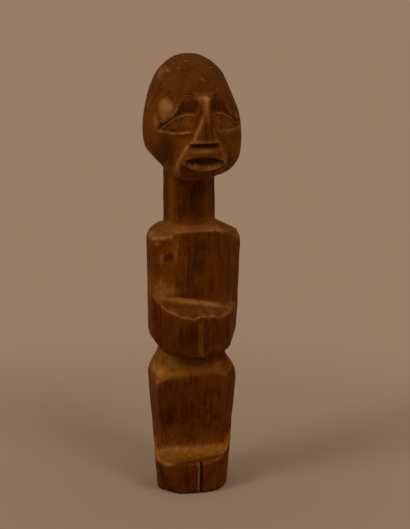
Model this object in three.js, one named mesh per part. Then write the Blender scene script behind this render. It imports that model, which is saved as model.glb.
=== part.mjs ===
// A small standing power figure, carved from one piece of dense wood.
// Millimetres, +Z up. The face looks towards -Y, and the flat soles rest on Z = 0.
//
// The carver works with flat cuts of an adze and a knife, so each stretch of the figure is the space
// inside a set of flat cuts, with its edges worn round. The skin is found by rays that leave the heart
// of the wood: level ones up to the neck, then a fan from the middle of the head.
import * as THREE from "three";

// Driving dimensions
const HEIGHT = 160;
const HALF_WIDTH = 17.1; // of the trunk, on its -X side
const HEAD_HALF_WIDTH = 18;
const HEAD_HALF_DEPTH = 17;
const WEAR = 1; // rounding of the carved edges

// Levels up the figure
const INSTEP = 0.0756 * HEIGHT;
const HIP = 0.281 * HEIGHT;
const WAIST = 0.322 * HEIGHT;
const LEDGE = 0.45 * HEIGHT;
const SHOULDER = 0.6213 * HEIGHT;
const CHIN = 0.735 * HEIGHT;
const MOUTH = 0.784 * HEIGHT;
const NOSE_BASE = 0.8225 * HEIGHT;
const TEMPLE = 0.8375 * HEIGHT; // where the head is widest
const LID = 0.8894 * HEIGHT; // top of the eye
const BROW = 0.9238 * HEIGHT;

const { clamp, degToRad } = THREE.MathUtils;

// Helpers. A place is (x, f, z), with f the distance forward, which is -Y.

function smoothMax(a, b, radius) {
  const near = Math.max(radius - Math.abs(a - b), 0) / radius;
  return Math.max(a, b) + (near * near * radius) / 4;
}

function smoothMin(a, b, radius) {
  return -smoothMax(-a, -b, radius);
}

// 0 before `from`, 1 after `to`, with soft ends; `from` may be the larger one
function ease(from, to, value) {
  const t = clamp((value - from) / (to - from), 0, 1);
  return t * t * (3 - 2 * t);
}

// Straight lines between [place, size] pairs
function profile(place, ...pairs) {
  if (place <= pairs[0][0]) return pairs[0][1];
  for (let i = 1; i < pairs.length; i++) {
    const [end, size] = pairs[i];
    const [start, before] = pairs[i - 1];
    if (place < end) return before + ((size - before) * (place - start)) / (end - start);
  }
  return pairs.at(-1)[1];
}

// A flat cut. `turn` is its heading in degrees from straight ahead towards +X, `rise` how many degrees
// it faces up, and it passes `reach` from the heart of the wood at the level `z`.
function cut(turn, rise, reach, z) {
  const level = Math.cos(degToRad(rise));
  const nx = level * Math.sin(degToRad(turn));
  const nf = level * Math.cos(degToRad(turn));
  const nz = Math.sin(degToRad(rise));
  const offset = level * reach + nz * z;
  return (x, f, height) => nx * x + nf * f + nz * height - offset;
}

// The space inside all of a list of cuts
function within(cuts, radius = WEAR) {
  return (x, f, z) => cuts.map((side) => side(x, f, z)).reduce((a, b) => smoothMax(a, b, radius));
}

// Legs: one block, hardly parted, that tapers to the ankles and is bevelled up to the waist

const legBlock = within([
  cut(0, -6.1, 12.6, HIP), // shins
  cut(-90, -3.7, 16.5, HIP),
  cut(-105, -4.6, 16.6, HIP),
  cut(55, -4.4, 15.8, HIP),
  cut(77, -5.5, 17.4, HIP),
  cut(131, -5, 16.9, HIP),
  cut(180, -2.5, 12.3, HIP),
  cut(-140, -3.9, 15.6, HIP),
  cut(0, 31.8, 12.6, HIP), // thigh tops, sloping back under the belly
  cut(-30, 38, 17.8, HIP - 1),
  cut(40, 38.4, 16.1, HIP - 1),
  cut(-90, 36.9, 12.3, WAIST + 1.8),
  cut(-90, 17.5, 14.7, WAIST - 3.3),
  cut(-115, 28, 12.1, WAIST + 0.9),
  cut(90, 36.9, 12.2, WAIST - 1.3),
  cut(90, 17.5, 15.4, WAIST - 5.2),
  cut(180, 31.9, 9, WAIST - 0.5),
  cut(0, -90, 0, 0), // soles
]);

// Feet: a low block in front of the shins, with a sloping instep and a narrow slot between the toes

const FOOT_FRONT = 15.3;
const SLOT_MIDDLE = 0.2;
const SLOT_DEPTH = 1.5;
const SLOT_HALF_WIDTH = 0.5;

const footBlock = within([
  cut(-5.5, -4.8, 14.8, 0),
  cut(-35, -16.9, 15.8, 0),
  cut(-61, -24, 14.8, 0),
  cut(-92, -6, 14.6, 0),
  cut(-105, -4, 12.45, 0),
  cut(15, -3.8, 14.9, 0),
  cut(55, -6.1, 13.8, 0),
  cut(78, -5.1, 13.3, 0),
  cut(0, 53.1, FOOT_FRONT, INSTEP),
  cut(180, 0, 0, 0),
  cut(0, -90, 0, 0),
]);

function feet(x, f, z) {
  const across = 1 - Math.abs(x - SLOT_MIDDLE) / SLOT_HALF_WIDTH;
  const slot = Math.min(across, (f - FOOT_FRONT + SLOT_DEPTH) / SLOT_DEPTH, INSTEP - z);
  return smoothMax(footBlock(x, f, z), slot * SLOT_HALF_WIDTH, 0.2);
}

// Waist: eight flat cuts round a deep notch

const WAIST_HALF_HEIGHT = 8;
const WAIST_REACHES = [8.7, 13, 12.1, 12.6, 9, 12, 12, 13];
const waistBlock = within(
  WAIST_REACHES.map((reach, i) => cut(45 * i, 0, reach, WAIST)),
  1.5,
);

function waist(x, f, z) {
  return Math.max(waistBlock(x, f, z), Math.abs(z - WAIST) - WAIST_HALF_HEIGHT);
}

// Torso: an upright block whose flat chest is cut back, so that the belly stands out below a ledge

const trunk = within([
  cut(-92.6, -1.2, HALF_WIDTH, 85),
  cut(-92.6, 0.5, HALF_WIDTH, 85),
  cut(-111, -0.6, 16.1, 85),
  cut(90, -4.6, 18.1, 75),
  cut(90, -0.6, 18.5, 80),
  cut(122, -0.9, 17.4, 80),
  cut(180, 0, 12.5, 75),
  cut(-140, 0, 16.4, 75),
]);
const chest = within([cut(0, -1.7, 10.4, LEDGE), cut(46, 0, 14.3, LEDGE)]);
const bellyFront = within(
  [
    cut(0, -6.3, 17.6, LEDGE - 4),
    cut(-18, 0, 18.7, LEDGE),
    cut(-43, 0, 19.1, LEDGE),
    cut(-66, 0, 19.4, LEDGE),
    cut(22, 0, 18.6, LEDGE),
    cut(62, 0, 16.8, LEDGE),
    cut(70, -3, 17.2, LEDGE),
  ],
  1.4,
);
const shoulders = within([
  cut(0, 84.3, 7.5, SHOULDER - 0.4),
  cut(180, 75.5, 8, SHOULDER - 0.4),
  cut(-108, 67, 10.2, SHOULDER - 1),
  cut(90, 70, 9.6, SHOULDER - 1.1),
  cut(-95, 38, 16.9, SHOULDER - 3.4),
  cut(88, 36.9, 18.1, SHOULDER - 3.6),
  cut(61, 33, 12.9, SHOULDER - 1.3),
]);
const splitShoulder = cut(-3, 50, 11.7, SHOULDER - 2.8);
const bellyCorners = within(
  [
    cut(-90, -33.2, 16.2, WAIST + 6.5),
    cut(90, -27.9, 16.8, WAIST + 5.7),
    cut(-24, -43, 17.5, WAIST + 2.4),
    cut(30.6, -38.3, 17.2, WAIST + 1.8),
  ],
  2,
);
const GROOVE_DEPTH = 0.5;

function torso(x, f, z) {
  // The ledge slopes down to the front and to +X, and more steeply on the -X side, where it runs up
  // into the chest in a hollow curve
  const ledge = z - (LEDGE - 0.1 - 0.2 * x - (0.5 - 0.025 * x) * (f - 10));
  const belly = smoothMax(bellyFront(x, f, z), 0.85 * ledge, 0.5);
  const fillet = 0.5 + 1.5 * ease(-5, -12, x);
  const front = smoothMin(belly, chest(x, f, z), fillet);
  // The underside is a shallow bowl
  const underside = WAIST - 0.8 + 0.04 * x + 0.022 * x * x - z;
  let skin = smoothMax(trunk(x, f, z), front, WEAR);
  skin = smoothMax(skin, shoulders(x, f, z), WEAR);
  // A flat piece has split off the front of the -X shoulder
  skin = smoothMax(skin, splitShoulder(x, f, z) - 3 * ease(-9.5, -7.5, x), 0.4);
  skin = smoothMax(skin, 0.93 * underside, 2);
  skin = smoothMax(skin, bellyCorners(x, f, z), 2);
  // A shallow groove runs down the middle of the belly and widens towards its foot
  const grooveHalf = profile(z, [WAIST, 1.3], [LEDGE - 4, 0.7]);
  const groove = Math.max(0, 1 - Math.abs(x + 0.4) / grooveHalf);
  return skin + GROOVE_DEPTH * groove * ease(12, 14, f) * ease(LEDGE - 2, LEDGE - 6, z);
}

// Neck: a thick six-sided post, set a little back

const NECK_REACH = 8.8;
const NECK_TURN = -14;
const neckPost = within(
  Array.from({ length: 6 }, (_, side) => cut(NECK_TURN + 60 * side, 0, NECK_REACH, 0)),
  1.6,
);

function neck(x, f, z) {
  const middle = (SHOULDER + CHIN) / 2;
  return Math.max(neckPost(x + 0.2, f + 2, z), Math.abs(z - middle) - 18);
}

// Head: a tall egg that leans back, with a wedge of nose and muzzle, leaf-shaped eyes and an open mouth

function eggAxis(z) {
  return 0.8 - 0.22 * (z - TEMPLE);
}

// Flat cuts that trim the egg's sides
const skullCuts = within([
  cut(-110, 41, 30.6, TEMPLE),
  cut(-105, 19, 20.1, TEMPLE),
  cut(-103, 9.7, 18.1, TEMPLE),
  cut(79, 22, 19.8, TEMPLE),
  cut(-90, -45.8, 24.7, TEMPLE),
]);

// Shallow flats that a knife left at the end of each brow and on the crown's edge
const knifeFacets = within([
  cut(-42.5, 21.3, 18.68, TEMPLE),
  cut(42, 21, 18.9, TEMPLE),
  cut(-76, 43.6, 29.25, TEMPLE),
]);

// The egg is blunter below than above, and leans a little to +X at the jaw
function egg(x, f, z) {
  const above = z > TEMPLE;
  const rise = Math.abs(z - TEMPLE) / (above ? HEIGHT - TEMPLE : TEMPLE - CHIN + 0.8);
  const power = above ? 2.05 : 2.5;
  const lean = profile(z, [CHIN, 2], [TEMPLE - 6, 0.2], [TEMPLE + 10, 0], [HEIGHT, 0.2]);
  const girth = Math.hypot((x - lean) / HEAD_HALF_WIDTH, (f - eggAxis(z)) / HEAD_HALF_DEPTH);
  const whole = ((rise ** power + girth ** power) ** (1 / power) - 1) * HEAD_HALF_DEPTH;
  const skull = smoothMax(whole, skullCuts(x, f, z), WEAR);
  return smoothMax(skull, knifeFacets(x, f, z), 0.25);
}

// How deep the cuts round the eye go below the egg, `side` mm from the face's middle line
function eyeDepth(side, z) {
  const along = clamp((side - 3) / 11.6, 0, 1);
  const upperLid = LID - 0.3 - 6.6 * along ** 2.2 - 0.9 * (1 - along) ** 4;
  const lowerLid = LID - 7.8 + 0.9 * along ** 3 + 1.6 * (1 - along) ** 3;
  const brow = Math.max(BROW - 1.6 - 8 * ease(7, 12, side), upperLid + 0.8);
  const edge = 0.8;
  const underBrow = clamp((brow - z) / Math.max(brow - upperLid, 0.8), 0, 1);
  const softness = 0.8 + 0.8 * ease(12, 8, side);
  const socket = (2.1 - 0.8 * along) * underBrow ** softness * ease(-edge, edge, z - lowerLid);
  const down = clamp((upperLid - z) / Math.max(upperLid - lowerLid, 0.6), 0, 1);
  const leaf = ease(-edge, edge, upperLid - z) * ease(-edge, edge, z - lowerLid);
  const eyeball = (0.65 - 0.3 * down + 0.25 * Math.sin(Math.PI * down)) * leaf;
  return (socket - eyeball) * ease(15.8, 13.6, side) * ease(-edge, edge, brow - z);
}

function cheekDepth(side, z) {
  const below = ease(LID - 6.3, LID - 8.7, z) * ease(CHIN, CHIN + 7, z);
  return 0.9 * below * ease(16.5, 11, side);
}

// The wedge: a blunt ridge that is the nose above and the ground of the mouth below
function wedge(side, f, z) {
  const nose = ease(NOSE_BASE - 0.5, NOSE_BASE + 0.4, z);
  const nosePoint = nose * profile(z, [NOSE_BASE, 1.7], [LID, 0]);
  const ground = profile(
    z,
    [CHIN - 1.6, 14.2],
    [CHIN + 0.4, 16.2],
    [CHIN + 3.4, 18.4],
    [MOUTH - 1.4, 19.6],
    [MOUTH + 1.6, 20],
    [NOSE_BASE, 19.6],
    [LID, 17.4],
    [BROW - 2.8, 15.6],
    [BROW - 0.8, 13.6],
  );
  const halfWidth = profile(
    z,
    [CHIN - 0.6, 6.8],
    [CHIN + 1.4, 8.1],
    [CHIN + 4.4, 8.9],
    [MOUTH + 0.6, 8.2],
    [NOSE_BASE, 5.6],
    [LID, 0.5],
    [BROW - 3.3, 0.8],
    [BROW - 1.3, 2],
  );
  const flare = profile(z, [CHIN, 0.1], [CHIN + 4.4, 0.3], [NOSE_BASE, 0.45], [BROW, 0.6]);
  const front = ground + nosePoint;
  const flank = side - halfWidth - flare * (ground - f);
  const ahead = (f - front + 0.022 * side ** 2) * 0.95;
  const bevel = 0.75 * (ahead + 0.85 * flank) + 0.5;
  let skin = smoothMax(smoothMax(ahead, 0.85 * flank, 0.4), bevel, 0.4);
  skin = smoothMax(skin, 0.94 * (CHIN - z) + 0.34 * (f - 14.6), 1.8); // underside of the chin
  skin = smoothMax(skin, 0.57 * (f - 14.6) + 0.82 * (z - BROW + 1.5), 0.8); // up into the forehead
  return skin;
}

// The open mouth is deep under the upper lip, and its floor climbs to the lower lip
function mouthDepth(side, z) {
  const upperLip = MOUTH + 1 - 0.026 * side ** 2;
  const lowerLip = MOUTH - 3 + 0.036 * side ** 2;
  const floor = clamp((z - lowerLip) / 1.6, 0, 1);
  const opening = 3.2 * floor * ease(0.5, -0.4, z - upperLip) * ease(6.9, 5.9, side);
  const underLip = z - 0.034 * side ** 2;
  const aboveChin = ease(CHIN - 1, CHIN + 2, z);
  const chinCut = 0.9 * ease(CHIN + 4.6, CHIN + 3, underLip) * ease(9.5, 7, side) * aboveChin;
  const underNose = 0.7 * clamp(1.3 - Math.abs(z - NOSE_BASE + 0.75) / 0.7, 0, 1) * ease(5.5, 4.6, side);
  return opening + chinCut + underNose;
}

function head(x, f, z) {
  const middle = 0.09 * (z - MOUTH - 1.6); // the face's middle line leans
  const side = Math.abs(x - middle);
  const whole = egg(x, f, z);
  const ahead = ease(2, 6, f - eggAxis(z));
  const skull = whole + (eyeDepth(side, z) + cheekDepth(side, z)) * ahead;
  // The wedge stands out from the egg by no more than this, and only in front
  const mostOut = profile(
    z,
    [CHIN - 1.6, 0.8],
    [CHIN + 1.4, 2.2],
    [MOUTH - 1.4, 4.2],
    [NOSE_BASE, 6],
    [LID, 4.5],
    [BROW - 2.8, 2.4],
    [BROW + 0.2, 0.6],
    [BROW + 2.2, -4],
  );
  const standOut = mostOut * ease(2, 9, f - eggAxis(z));
  const mouthSide = Math.abs(x - middle - 0.8);
  const muzzle = wedge(side, f, z) + mouthDepth(mouthSide, z + 0.06 * (x - middle));
  const face = Math.max(smoothMax(muzzle, whole - standOut, 0.8), 3 - f);
  return smoothMin(skull, face, profile(z, [LID - 3, 0.35], [BROW - 3, 1.6]));
}

// The whole figure: below 0 in the wood, above 0 in the air
function figure(x, f, z) {
  let skin = smoothMin(legBlock(x, f, z), feet(x, f, z), 0.7);
  skin = smoothMin(skin, waist(x, f, z), 0.8);
  skin = smoothMin(skin, torso(x, f, z), 0.8);
  skin = smoothMin(skin, neck(x, f, z), 1);
  return smoothMin(skin, head(x, f, z), 1);
}

// Rays. Each ring of them leaves the heart of the wood from one point, at one tilt. So that its points
// lie along the carved edges, a ring may also slant towards +X and bend up or down at the cheeks.

const HEAD_CENTRE = { f: 1.2, z: TEMPLE + 1 };
const FACE_REACH = 18; // from the head's centre to the face
const MOUTH_BEND_END = 7.5; // rings bend as far as this from the face's middle line
const BROW_BEND_END = 13;
const NECK_BACK = -2;
const JAW_START = CHIN - 3.5;
const JAW_TILT = -46;

// Evenly spaced levels from `from` up to, but without, `to`
function levels(from, to, count) {
  return Array.from({ length: count }, (_, i) => from + ((to - from) * i) / count);
}

// The rings of the body dip towards +X as the waist and the ledge do
function bodyRing(z) {
  const slant = profile(z, [HIP - 20, 0], [WAIST, -0.06], [LEDGE, -0.2], [SHOULDER, 0]);
  return { f: NECK_BACK * ease(LEDGE + 22, SHOULDER, z), z, tilt: 0, slant, bend: 0, bendEnd: 0 };
}

// A ring of the head that meets the middle of the face at the level `z`
function headRing(z) {
  const bend = profile(
    z,
    [CHIN, 0.01],
    [MOUTH - 3, 0.036],
    [MOUTH + 1, -0.026],
    [NOSE_BASE, 0],
    [LID - 7, 0.004],
    [LID, -0.03],
    [BROW, -0.05],
    [HEIGHT, 0],
  );
  const slant = profile(z, [MOUTH + 4, -0.06], [NOSE_BASE, 0]);
  const tilt = THREE.MathUtils.radToDeg(Math.atan2(z - HEAD_CENTRE.z, FACE_REACH));
  const bendEnd = profile(z, [MOUTH + 3, MOUTH_BEND_END], [NOSE_BASE + 3, BROW_BEND_END]);
  return { ...HEAD_CENTRE, tilt, slant, bend, bendEnd };
}

function makeRings() {
  const body = [
    ...levels(0.4, INSTEP, 3),
    ...levels(INSTEP, INSTEP + 5, 4),
    ...levels(INSTEP + 5, HIP - 3, 2),
    ...levels(HIP - 3, WAIST - 1, 5),
    ...levels(WAIST - 1, WAIST + 4, 5),
    ...levels(WAIST + 4, LEDGE - 5, 2),
    ...levels(LEDGE - 5, LEDGE + 2, 8),
    ...levels(LEDGE + 2, SHOULDER - 4, 2),
    ...levels(SHOULDER - 4, SHOULDER + 1, 6),
    ...levels(SHOULDER + 1, JAW_START, 2),
  ].map(bodyRing);
  // Between neck and head the rays' start climbs while they tip down to follow the jaw's underside
  const jaw = levels(0, 1, 6).map((part) => ({
    f: NECK_BACK + (HEAD_CENTRE.f - NECK_BACK) * part,
    z: JAW_START + (HEAD_CENTRE.z - JAW_START) * part,
    tilt: THREE.MathUtils.radToDeg(Math.atan(Math.tan(degToRad(JAW_TILT)) * part)),
    slant: -0.06 * part,
    bend: 0.01 * part,
    bendEnd: MOUTH_BEND_END,
  }));
  // Over the face the rings are close where the carving is fine
  const face = [
    ...levels(CHIN - 1, MOUTH - 3.5, 4),
    ...levels(MOUTH - 3.5, MOUTH + 3.7, 9),
    ...levels(MOUTH + 3.7, NOSE_BASE + 1, 4),
    ...levels(NOSE_BASE + 1, BROW + 1.5, 13),
  ].map(headRing);
  const crown = levels(BROW + 1.5, HEIGHT, 4).map(headRing);
  const summit = [60, 72, 84].map((tilt) => ({ ...HEAD_CENTRE, tilt, slant: 0, bend: 0, bendEnd: 0 }));
  return [...body, ...jaw, ...face, ...crown, ...summit];
}

// Columns of rays run round the figure, closer together in front
const COLUMNS = 60;
const FRONT_CROWDING = 0.62;
const headings = Array.from({ length: COLUMNS }, (_, i) => {
  const u = (2 * i) / COLUMNS - 1;
  return Math.PI * u - FRONT_CROWDING * Math.sin(Math.PI * u);
});

// Walk out along one ray until the skin is met
function skinPoint({ f, z, tilt, slant, bend, bendEnd }, heading) {
  const level = Math.cos(degToRad(tilt));
  const across = level * Math.sin(heading);
  const cheek = Math.min(FACE_REACH * Math.abs(Math.sin(heading)), bendEnd);
  const lift = slant * across + (level * bend * cheek ** 2) / FACE_REACH;
  const step = [across, level * Math.cos(heading), Math.sin(degToRad(tilt)) + lift];
  let reach = 0;
  for (let i = 0; i < 90; i++) {
    const inside = -figure(reach * step[0], f + reach * step[1], z + reach * step[2]);
    reach = Math.max(reach + 0.7 * clamp(inside, -0.5, 3), 0);
  }
  return [reach * step[0], -(f + reach * step[1]), z + reach * step[2]];
}

function carve() {
  const rings = makeRings().map((ring) => headings.map((heading) => skinPoint(ring, heading)));
  const mean = (ring) => [0, 1, 2].map((k) => ring.reduce((sum, p) => sum + p[k], 0) / ring.length);

  // The soles are flat: the lowest ring is drawn in a little and laid on the ground
  const [centreX, centreY] = mean(rings[0]);
  const DRAWN_IN = 0.98;
  const sole = rings[0].map(([x, y]) => [
    centreX + (x - centreX) * DRAWN_IN,
    centreY + (y - centreY) * DRAWN_IN,
    0,
  ]);
  rings.unshift(sole);

  const points = [...rings.flat(), [centreX, centreY, 0], mean(rings.at(-1))];
  const bottom = points.length - 2;
  const top = points.length - 1;
  const triangles = [];
  const lastRow = (rings.length - 1) * COLUMNS;
  for (let i = 0; i < COLUMNS; i++) {
    const next = (i + 1) % COLUMNS;
    triangles.push(bottom, next, i);
    triangles.push(top, lastRow + i, lastRow + next);
    for (let row = 0; row < lastRow; row += COLUMNS) {
      const [a, b, c, d] = [row + i, row + next, row + COLUMNS + next, row + COLUMNS + i];
      triangles.push(a, b, c, a, c, d);
    }
  }

  const geometry = new THREE.BufferGeometry();
  geometry.setAttribute("position", new THREE.Float32BufferAttribute(points.flat(), 3));
  geometry.setIndex(triangles);
  geometry.computeVertexNormals();
  // The origin is the middle of the figure's box, on the ground
  geometry.computeBoundingBox();
  const centre = geometry.boundingBox.getCenter(new THREE.Vector3());
  return geometry.translate(-centre.x, -centre.y, 0);
}

const patinatedWood = new THREE.MeshStandardMaterial({ color: 0x5c3413, roughness: 0.42, metalness: 0 });

const carvedFigure = new THREE.Mesh(carve(), patinatedWood);
carvedFigure.name = "carved_figure";

const powerFigure = new THREE.Group();
powerFigure.add(carvedFigure);

export default powerFigure;
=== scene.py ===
# A small standing power figure, carved from one piece of dense wood and dark with handling.
# The carving is worked out in millimetres, with f the distance forward, which is -Y. It stands on Z = 0.
import itertools
import math

import bpy
import numpy as np
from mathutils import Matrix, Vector


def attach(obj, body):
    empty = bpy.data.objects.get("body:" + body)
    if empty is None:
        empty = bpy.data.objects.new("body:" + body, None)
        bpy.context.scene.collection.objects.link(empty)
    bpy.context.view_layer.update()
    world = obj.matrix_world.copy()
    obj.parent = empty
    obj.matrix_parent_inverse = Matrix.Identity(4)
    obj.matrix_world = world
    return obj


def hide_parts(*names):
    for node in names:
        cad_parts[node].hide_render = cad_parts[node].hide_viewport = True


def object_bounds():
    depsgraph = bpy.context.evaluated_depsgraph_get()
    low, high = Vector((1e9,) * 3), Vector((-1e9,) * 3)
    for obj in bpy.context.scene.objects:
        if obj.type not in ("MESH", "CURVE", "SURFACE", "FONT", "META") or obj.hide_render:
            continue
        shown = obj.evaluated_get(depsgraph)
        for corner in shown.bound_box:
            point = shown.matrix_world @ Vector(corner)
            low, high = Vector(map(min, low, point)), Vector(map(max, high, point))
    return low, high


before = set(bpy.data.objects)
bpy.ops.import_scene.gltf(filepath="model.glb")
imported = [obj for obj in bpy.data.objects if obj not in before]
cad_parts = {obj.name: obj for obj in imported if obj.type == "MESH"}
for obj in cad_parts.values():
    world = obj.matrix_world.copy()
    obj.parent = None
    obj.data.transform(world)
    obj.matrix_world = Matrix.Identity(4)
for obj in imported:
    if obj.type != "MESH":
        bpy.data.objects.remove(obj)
cad_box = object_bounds()

# Legs
# One block of wood, hardly parted, that tapers to the ankles. It is shaped with flat cuts of an adze,
# and steep bevels lead from the hips up to the waist. Handling has worn the edges round.
HEIGHT = 160.0
HALF_WIDTH = 17.1  # of the trunk, on its -X side
HIP = 0.281 * HEIGHT
WAIST = 0.322 * HEIGHT
WEAR = 1.0  # rounding of the carved edges


def smooth_max(a, b, radius):
    """The larger of two distances, rounded off where they come within the radius of each other."""
    near = np.maximum(radius - np.abs(a - b), 0) / radius
    return np.maximum(a, b) + near**2 * radius / 4


def cut(turn, rise, reach, level):
    """Distance outside one flat cut: how far a place lies along the cut's facing, beyond the cut itself.

    The cut faces `turn` degrees from straight ahead towards +X and `rise` degrees up. It passes
    `reach` from the heart of the wood at the height `level`.
    """
    upright = math.cos(math.radians(rise))
    side = upright * math.sin(math.radians(turn))
    ahead = upright * math.cos(math.radians(turn))
    up = math.sin(math.radians(rise))
    offset = upright * reach + up * level
    return lambda x, f, z: side * x + ahead * f + up * z - offset


def within(cuts, x, f, z, radius=WEAR):
    """Distance outside the space that all the flat cuts leave: their rounded largest."""
    distance = cuts[0](x, f, z)
    for flat in cuts[1:]:
        distance = smooth_max(distance, flat(x, f, z), radius)
    return distance


leg_cuts = [
    cut(0, -6.1, 12.6, HIP),  # shins
    cut(-90, -3.7, 16.5, HIP),
    cut(-105, -4.6, 16.6, HIP),
    cut(55, -4.4, 15.8, HIP),
    cut(77, -5.5, 17.4, HIP),
    cut(131, -5, 16.9, HIP),
    cut(180, -2.5, 12.3, HIP),
    cut(-140, -3.9, 15.6, HIP),
    cut(0, 31.8, 12.6, HIP),  # thigh tops, sloping back under the belly
    cut(-30, 38, 17.8, HIP - 1),
    cut(40, 38.4, 16.1, HIP - 1),
    cut(-90, 36.9, 12.3, WAIST + 1.8),
    cut(-90, 17.5, 14.7, WAIST - 3.3),
    cut(-115, 28, 12.1, WAIST + 0.9),
    cut(90, 36.9, 12.2, WAIST - 1.3),
    cut(90, 17.5, 15.4, WAIST - 5.2),
    cut(180, 31.9, 9, WAIST - 0.5),
    cut(0, -90, 0, 0),  # soles
]


def legs(x, f, z):
    """Distance outside the leg block."""
    return within(leg_cuts, x, f, z)


# Feet
# A low block in front of the shins, of the same wood. Its top slopes down to the toes, and one narrow
# saw cut in the front parts the left foot from the right.
INSTEP = 0.0756 * HEIGHT
FOOT_FRONT = 15.3
SLOT_MIDDLE = 0.2
SLOT_DEPTH = 1.5
SLOT_HALF_WIDTH = 0.5

foot_cuts = [
    cut(-5.5, -4.8, 14.8, 0),
    cut(-35, -16.9, 15.8, 0),
    cut(-61, -24, 14.8, 0),
    cut(-92, -6, 14.6, 0),
    cut(-105, -4, 12.45, 0),
    cut(15, -3.8, 14.9, 0),
    cut(55, -6.1, 13.8, 0),
    cut(78, -5.1, 13.3, 0),
    cut(0, 53.1, FOOT_FRONT, INSTEP),
    cut(180, 0, 0, 0),
    cut(0, -90, 0, 0),
]


def feet(x, f, z):
    """Distance outside the foot block, less a V-shaped slot that is as deep as it is far from its edges."""
    block = within(foot_cuts, x, f, z)
    across = 1 - np.abs(x - SLOT_MIDDLE) / SLOT_HALF_WIDTH
    inward = (f - FOOT_FRONT + SLOT_DEPTH) / SLOT_DEPTH
    slot = np.minimum(np.minimum(across, inward), INSTEP - z)
    return smooth_max(block, slot * SLOT_HALF_WIDTH, 0.2)


# Waist
# A deep notch in the block, between hips and belly. Eight flat cuts of a knife, all round it, leave
# the wood narrowest here.
WAIST_HALF_HEIGHT = 8
WAIST_REACHES = (8.7, 13, 12.1, 12.6, 9, 12, 12, 13)

waist_cuts = [cut(45 * i, 0, reach, WAIST) for i, reach in enumerate(WAIST_REACHES)]


def waist(x, f, z):
    """Distance outside the waist: its upright cuts, and as far up and down as the notch."""
    return np.maximum(within(waist_cuts, x, f, z, 1.5), np.abs(z - WAIST) - WAIST_HALF_HEIGHT)


# Torso
# An upright block with a flat chest. The chest is cut back from the front, so that the belly stands
# out below a ledge with a wavy, broken lip. A shallow groove runs down the middle of the belly.
LEDGE = 0.45 * HEIGHT
SHOULDER = 0.6213 * HEIGHT
CHEST_REACH = 10.4  # how far forward the flat chest is
LEDGE_FALL = 0.5  # of the ledge's plane, for each millimetre forward
LEDGE_SIDE_FALL = 0.2  # and towards +X
LEDGE_TWIST = 0.025
GROOVE_DEPTH = 0.5
GROOVE_MIDDLE = -0.4

trunk_cuts = [
    cut(-92.6, -1.2, HALF_WIDTH, 85),
    cut(-92.6, 0.5, HALF_WIDTH, 85),
    cut(-111, -0.6, 16.1, 85),
    cut(90, -4.6, 18.1, 75),
    cut(90, -0.6, 18.5, 80),
    cut(122, -0.9, 17.4, 80),
    cut(180, 0, 12.5, 75),
    cut(-140, 0, 16.4, 75),
]
chest_cuts = [cut(0, -1.7, CHEST_REACH, LEDGE), cut(46, 0, 14.3, LEDGE)]
belly_cuts = [
    cut(0, -6.3, 17.6, LEDGE - 4),
    cut(-18, 0, 18.7, LEDGE),
    cut(-43, 0, 19.1, LEDGE),
    cut(-66, 0, 19.4, LEDGE),
    cut(22, 0, 18.6, LEDGE),
    cut(62, 0, 16.8, LEDGE),
    cut(70, -3, 17.2, LEDGE),
]
shoulder_cuts = [
    cut(0, 84.3, 7.5, SHOULDER - 0.4),
    cut(180, 75.5, 8, SHOULDER - 0.4),
    cut(-108, 67, 10.2, SHOULDER - 1),
    cut(90, 70, 9.6, SHOULDER - 1.1),
    cut(-95, 38, 16.9, SHOULDER - 3.4),
    cut(88, 36.9, 18.1, SHOULDER - 3.6),
    cut(61, 33, 12.9, SHOULDER - 1.3),
]
split_shoulder = cut(-3, 50, 11.7, SHOULDER - 2.8)
corner_cuts = [
    cut(-90, -33.2, 16.2, WAIST + 6.5),
    cut(90, -27.9, 16.8, WAIST + 5.7),
    cut(-24, -43, 17.5, WAIST + 2.4),
    cut(30.6, -38.3, 17.2, WAIST + 1.8),
]


def smooth_min(a, b, radius):
    """The smaller of two distances, rounded off in the same way as the larger."""
    return -smooth_max(-a, -b, radius)


def ease(start, end, value):
    """0 before `start` and 1 after `end`, with soft ends; `start` may be the larger of the two."""
    part = np.clip((value - start) / (end - start), 0, 1)
    return part * part * (3 - 2 * part)


def profile(place, *pairs):
    """Straight lines between (place, size) pairs."""
    return np.interp(place, [pair[0] for pair in pairs], [pair[1] for pair in pairs])


def ledge_level(x, f):
    """Height of the ledge: a plane that slopes down to the front and to +X, twisted to be steeper at -X."""
    return LEDGE - 0.1 - LEDGE_SIDE_FALL * x - (LEDGE_FALL - LEDGE_TWIST * x) * (f - 10)


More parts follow.
